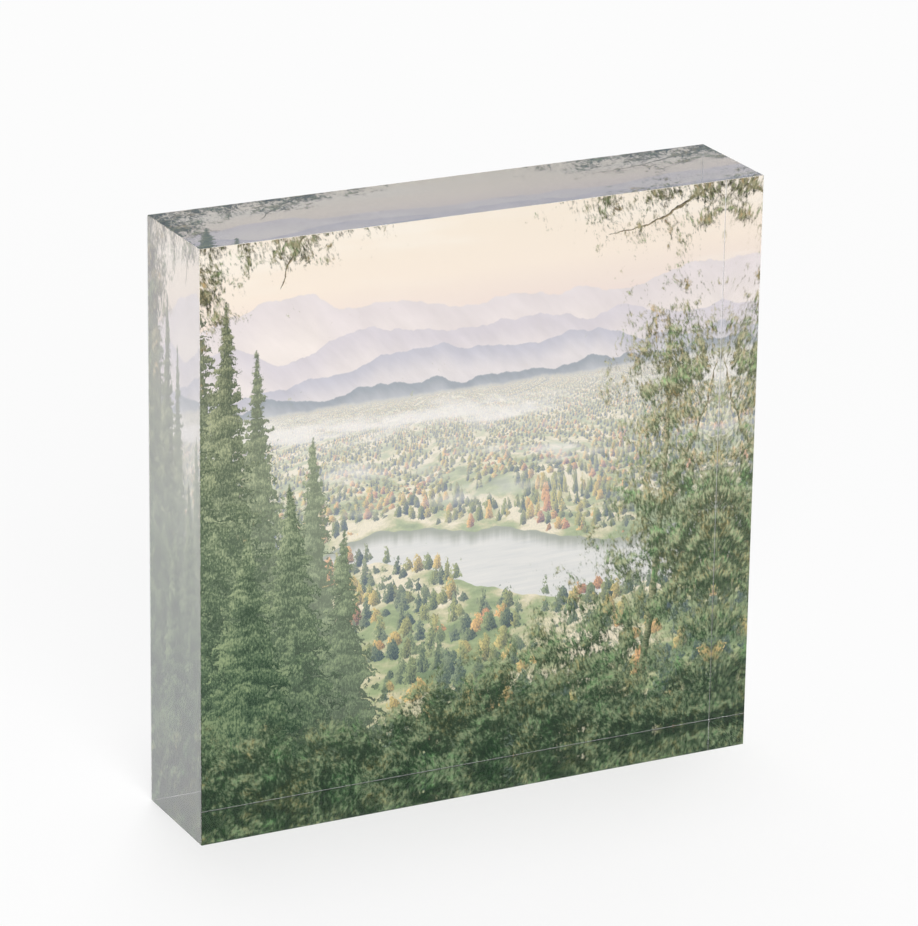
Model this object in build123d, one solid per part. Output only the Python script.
from build123d import *
import os

# A free-standing photo block. One thick slab of clear cast acrylic carries a photo print,
# bonded face to face on its back, and a backing sheet seals the print from behind.
# The slab stands on its own polished edge, so it needs no foot, easel or hanger.
# +Z is up, the picture is looked at from the -Y side, and the origin is the middle of
# the footprint. Lengths are in millimetres.

# Slab: sawn from cast sheet, all six faces polished, each edge broken by a narrow flat.
slab_width = 150.0
slab_height = 150.0
slab_depth = 30.0
edge_flat = 0.1

# Laminate: rolled onto the slab's back and trimmed all together, just inside the edge flats.
trim_clearance = 0.02
mounting_film_thickness = 0.05
print_thickness = 0.25
sealing_film_thickness = 0.05
backing_thickness = 0.3

# The layers in the order in which they are rolled on, from the slab's back outwards.
laminate_layers = [
    ("mounting_film", mounting_film_thickness),
    ("photo_print", print_thickness),
    ("sealing_film", sealing_film_thickness),
    ("backing_sheet", backing_thickness),
]

# The origin is under the middle of the whole depth, slab and laminate together.
laminate_thickness = sum(thickness for name, thickness in laminate_layers)
front_y = -(slab_depth + laminate_thickness) / 2
slab_back_y = front_y + slab_depth

# The trimmed outline leaves the edge flats bare, so light enters there and draws a bright line.
bare_rim = edge_flat + trim_clearance
sheet_width = slab_width - 2 * bare_rim
sheet_height = slab_height - 2 * bare_rim


def make_slab():
    """The clear slab: a block with a 45 degree flat polished along each of its twelve edges."""
    standing = (Align.CENTER, Align.MIN, Align.MIN)
    slab = Pos(0, front_y, 0) * Box(slab_width, slab_depth, slab_height, align=standing)
    # Leg length of each flat, measured on the two faces that meet at the edge.
    return chamfer(slab.edges(), edge_flat)


def make_sheet(near_y, thickness):
    """One layer of the laminate: the trimmed outline, from near_y backwards by its thickness."""
    outline = Plane.XZ.offset(-near_y) * Pos(0, slab_height / 2) * Rectangle(sheet_width, sheet_height)
    return extrude(outline, amount=thickness, dir=(0, 1, 0))


def make_laminate():
    """The bonded layers by name, each seated face to face on the one before it."""
    sheets = {}
    near_y = slab_back_y
    for name, thickness in laminate_layers:
        sheets[name] = make_sheet(near_y, thickness)
        near_y += thickness
    return sheets


parts = {"acrylic_slab": make_slab()}
parts.update(make_laminate())

os.makedirs("parts", exist_ok=True)
for name, solid in parts.items():
    export_step(solid, f"parts/{name}.step")
    size = solid.bounding_box().size
    print(f"{name}: {size.X:.2f} x {size.Y:.2f} x {size.Z:.2f} mm, {solid.volume:.1f} mm3")
